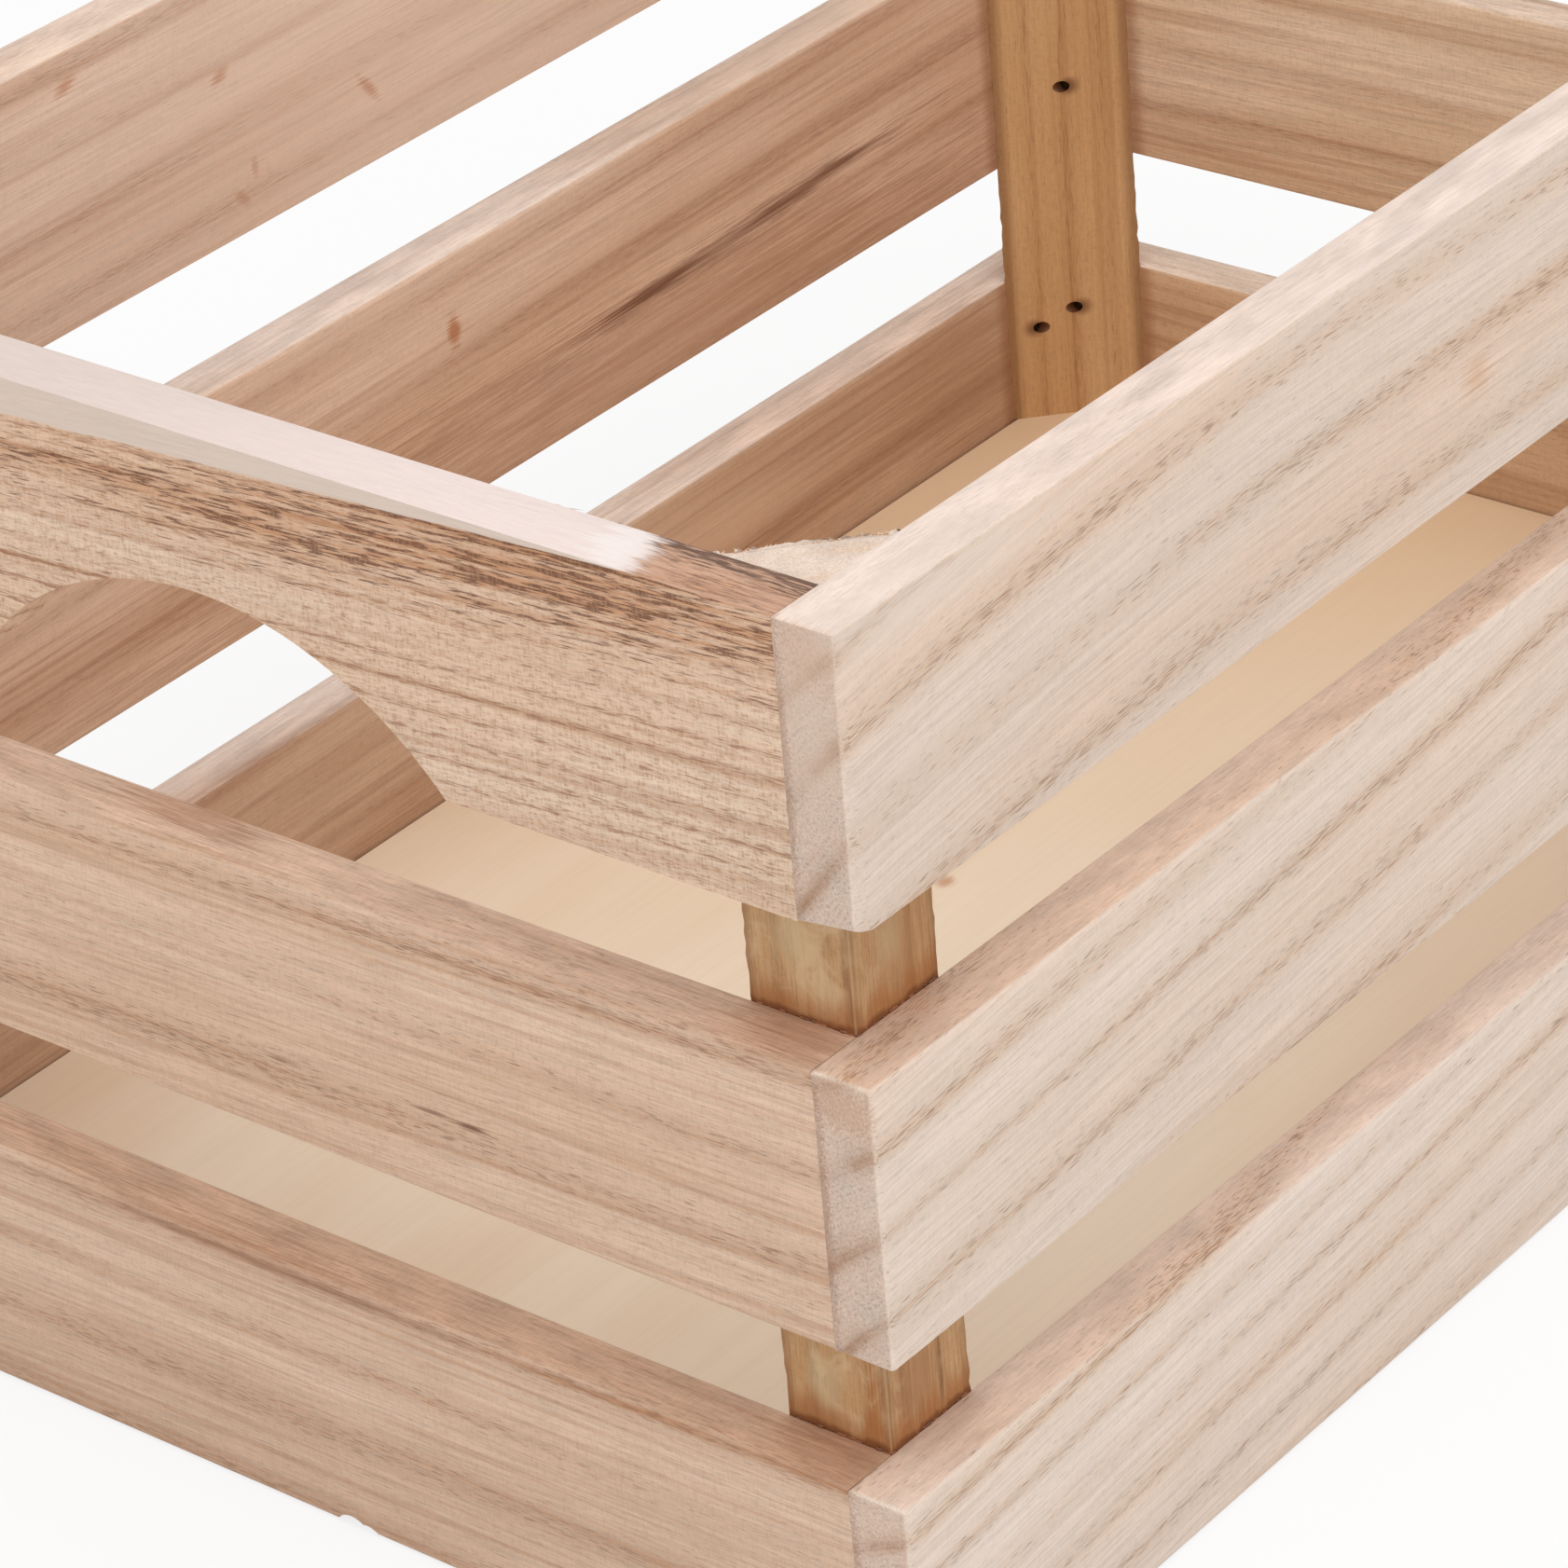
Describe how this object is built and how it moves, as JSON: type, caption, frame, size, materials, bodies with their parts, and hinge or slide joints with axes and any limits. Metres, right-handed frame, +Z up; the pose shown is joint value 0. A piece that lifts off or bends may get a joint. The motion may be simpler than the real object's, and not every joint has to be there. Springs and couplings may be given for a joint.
{
  "type": "slatted wooden storage crate",
  "caption": "Open-top storage crate of wooden slats on triangular corner posts, with a raised plywood floor and an arched hand-hold in each end.",
  "frame": {"origin": "on the surface that the crate stands on, under the middle of the crate", "axes": "+X along the long sides, +Y across them to the back, +Z up"},
  "size_m": [0.305, 0.202, 0.161],
  "materials": {
    "pale_slat": "raw planed paulownia, pale greyish cream, matt",
    "pink_slat": "raw planed paulownia, pinkish tan, matt",
    "tan_slat": "raw planed paulownia, tan with brown streaks, matt",
    "amber_post": "raw sawn wood, amber, with dried glue",
    "plywood": "raw sanded plywood, pale yellow",
    "brad_steel": "bare wire"
  },
  "bodies": {
    "root": {"front_slat_bottom": "pale_slat", "front_slat_middle": "pale_slat", "front_slat_top": "pale_slat", "back_slat_bottom": "pink_slat", "back_slat_middle": "pink_slat", "back_slat_top": "pink_slat", "left_slat_bottom": "tan_slat", "left_slat_middle": "tan_slat", "left_slat_top": "tan_slat", "right_slat_bottom": "tan_slat", "right_slat_middle": "tan_slat", "right_slat_top": "tan_slat", "post_front_left": "amber_post", "post_front_right": "amber_post", "post_back_left": "amber_post", "post_back_right": "amber_post", "floor_panel": "plywood", "brad_front_left_bottom_side": "brad_steel", "brad_front_left_bottom_end": "brad_steel", "brad_front_left_middle_end": "brad_steel", "brad_front_left_top_side": "brad_steel", "brad_front_left_top_end": "brad_steel", "floor_brad_front_left": "brad_steel", "brad_front_right_bottom_side": "brad_steel", "brad_front_right_bottom_end": "brad_steel", "brad_front_right_middle_end": "brad_steel", "brad_front_right_top_side": "brad_steel", "brad_front_right_top_end": "brad_steel", "floor_brad_front_right": "brad_steel", "brad_back_left_bottom_side": "brad_steel", "brad_back_left_bottom_end": "brad_steel", "brad_back_left_middle_end": "brad_steel", "brad_back_left_top_side": "brad_steel", "brad_back_left_top_end": "brad_steel", "floor_brad_back_left": "brad_steel", "brad_back_right_bottom_side": "brad_steel", "brad_back_right_bottom_end": "brad_steel", "brad_back_right_middle_end": "brad_steel", "brad_back_right_top_side": "brad_steel", "brad_back_right_top_end": "brad_steel", "floor_brad_back_right": "brad_steel"}
  },
  "joints": []
}
